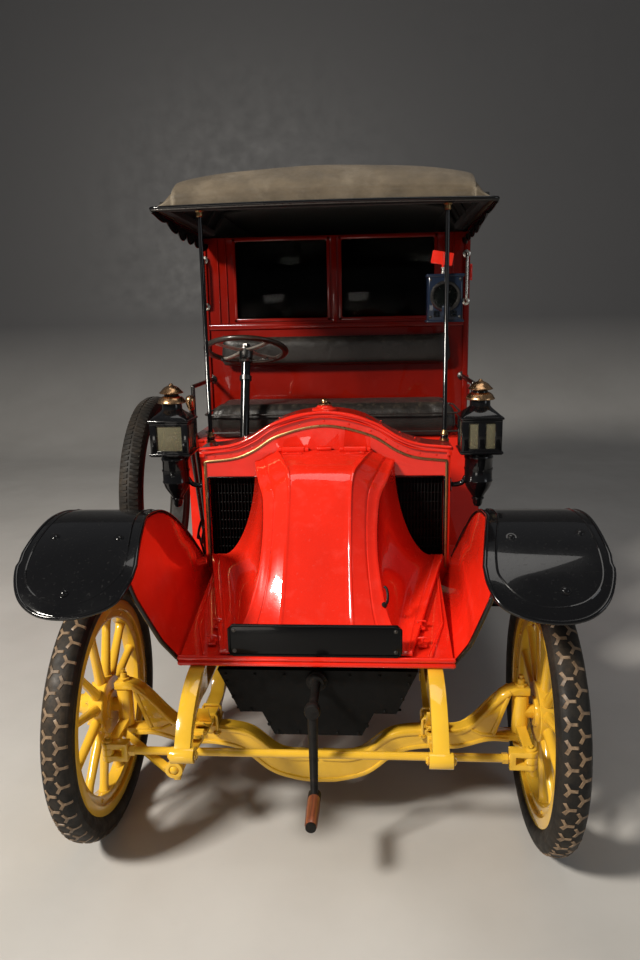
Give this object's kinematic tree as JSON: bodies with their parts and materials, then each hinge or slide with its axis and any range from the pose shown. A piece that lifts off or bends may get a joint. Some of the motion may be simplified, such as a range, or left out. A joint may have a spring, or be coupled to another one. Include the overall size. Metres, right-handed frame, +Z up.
{
  "type": "vintage taxi",
  "caption": "Edwardian taxi: sloping scuttle bonnet, open driver seat under a fixed canopy, closed passenger cab with a leather rear hood, spoked wood wheels.",
  "frame": {"origin": "on the ground, middle of the length and width", "axes": "+Z up, the car faces -Y, its left side is +X"},
  "size_m": [1.57, 3.6253, 2.155],
  "materials": {
    "chassis_paint": "glossy yellow coach paint",
    "wheel_paint": "glossy yellow coach paint on wood",
    "cast_metal": "cast, oily",
    "dark_iron": "dull black",
    "black_enamel": "deep gloss stove enamel",
    "body_red": "glossy red coach paint",
    "radiator_black": "matt black",
    "brass": "polished",
    "plate_black": "satin black, blank",
    "wheel_rim_dark": "varnished dark wood on polished steel spokes",
    "seat_leather": "black buttoned leather",
    "polished_steel": "polished",
    "roof_cloth": "worn coated roof cloth",
    "hood_leather": "black hood leather",
    "meter_black": "blue-black enamel",
    "tyre_rubber": "worn rubber"
  },
  "bodies": {
    "root": {"apron": "body_red", "armrests": "polished_steel", "bulkhead": "body_red", "cabin_back": "body_red", "cabin_side_left": "body_red", "cabin_side_right": "body_red", "chassis_frame": "chassis_paint", "driver_seat": "seat_leather", "engine": "cast_metal", "floor": "body_red", "front_axle": "chassis_paint", "front_fenders": "black_enamel", "hand_levers": "polished_steel", "hood": "hood_leather", "leaf_springs": "chassis_paint", "number_plate": "plate_black", "passenger_seat": "seat_leather", "radiator": "radiator_black", "radiator_cap": "brass", "rear_axle": "chassis_paint", "rear_fenders": "black_enamel", "roof": "roof_cloth", "roof_stays": "polished_steel", "running_boards": "black_enamel", "scuttle": "body_red", "side_lamps": "black_enamel", "silencer": "dark_iron", "spare_tyre": "tyre_rubber", "steering_column": "black_enamel", "taximeter": "meter_black", "undertray": "black_enamel"},
    "knuckle_right": {"knuckle_right": "chassis_paint"},
    "knuckle_left": {"knuckle_left": "chassis_paint"},
    "tie_rod": {"tie_rod": "chassis_paint"},
    "drag_link": {"drag_link": "chassis_paint"},
    "drop_arm": {"drop_arm": "chassis_paint"},
    "steering_wheel": {"steering_wheel": "wheel_rim_dark"},
    "door_right": {"door_right": "body_red"},
    "door_left": {"door_left": "body_red"},
    "bonnet": {"bonnet": "body_red"},
    "crank": {"crank": "black_enamel"},
    "wheel_front_right": {"wheel_front_right": "wheel_paint", "tyre_front_right": "tyre_rubber"},
    "wheel_front_left": {"wheel_front_left": "wheel_paint", "tyre_front_left": "tyre_rubber"},
    "wheel_rear_right": {"wheel_rear_right": "wheel_paint", "tyre_rear_right": "tyre_rubber"},
    "wheel_rear_left": {"wheel_rear_left": "wheel_paint", "tyre_rear_left": "tyre_rubber"}
  },
  "joints": [
    {"name": "steering", "type": "hinge", "parent": "root", "child": "steering_wheel", "pos_m": [-0.352, -0.405, 1.48], "axis": [0, 0.342, 0.9397], "range_deg": [-225, 225]},
    {"name": "kingpin_right", "type": "hinge", "parent": "root", "child": "knuckle_right", "pos_m": [-0.622, -1.39, 0.405], "axis": [0, 0, 1], "range_deg": [-26, 26]},
    {"name": "kingpin_left", "type": "hinge", "parent": "root", "child": "knuckle_left", "pos_m": [0.622, -1.39, 0.405], "axis": [0, 0, 1], "range_deg": [-26, 26]},
    {"name": "tie_rod_pivot", "type": "hinge", "parent": "knuckle_right", "child": "tie_rod", "pos_m": [-0.622, -1.562, 0.35], "axis": [0, 0, 1], "range_deg": [-26, 26]},
    {"name": "drag_link_pivot", "type": "hinge", "parent": "knuckle_right", "child": "drag_link", "pos_m": [-0.42, -1.58, 0.303], "axis": [0, 0, 1], "range_deg": [-25, 25]},
    {"name": "drop_arm_pivot", "type": "hinge", "parent": "root", "child": "drop_arm", "pos_m": [-0.392, -0.75, 0.56], "axis": [1, 0, 0], "range_deg": [-25, 25]},
    {"name": "spin_front_right", "type": "hinge", "parent": "knuckle_right", "child": "wheel_front_right", "pos_m": [-0.69, -1.39, 0.405], "axis": [1, 0, 0], "continuous": true},
    {"name": "spin_front_left", "type": "hinge", "parent": "knuckle_left", "child": "wheel_front_left", "pos_m": [0.69, -1.39, 0.405], "axis": [1, 0, 0], "continuous": true},
    {"name": "spin_rear_right", "type": "hinge", "parent": "root", "child": "wheel_rear_right", "pos_m": [-0.69, 1.21, 0.405], "axis": [1, 0, 0], "continuous": true},
    {"name": "spin_rear_left", "type": "hinge", "parent": "root", "child": "wheel_rear_left", "pos_m": [0.69, 1.21, 0.405], "axis": [1, 0, 0], "continuous": true},
    {"name": "door_right_hinge", "type": "hinge", "parent": "root", "child": "door_right", "pos_m": [-0.628, 0.076, 1.2], "axis": [0, 0, 1], "range_deg": [0, 75]},
    {"name": "door_left_hinge", "type": "hinge", "parent": "root", "child": "door_left", "pos_m": [0.628, 0.076, 1.2], "axis": [0, 0, -1], "range_deg": [0, 75]},
    {"name": "bonnet_hinge", "type": "hinge", "parent": "root", "child": "bonnet", "pos_m": [0, -0.926, 1.148], "axis": [-1, 0, 0], "range_deg": [0, 55]},
    {"name": "crank_turn", "type": "hinge", "parent": "root", "child": "crank", "pos_m": [0, -1.49, 0.53], "axis": [0, 1, 0], "continuous": true}
  ],
  "couplings": [
    {"joint": "kingpin_right", "follows": "steering", "ratio": 0.11111},
    {"joint": "kingpin_left", "follows": "steering", "ratio": 0.11111},
    {"joint": "tie_rod_pivot", "follows": "steering", "ratio": -0.11111},
    {"joint": "drag_link_pivot", "follows": "steering", "ratio": -0.086667},
    {"joint": "drop_arm_pivot", "follows": "steering", "ratio": 0.068889}
  ]
}
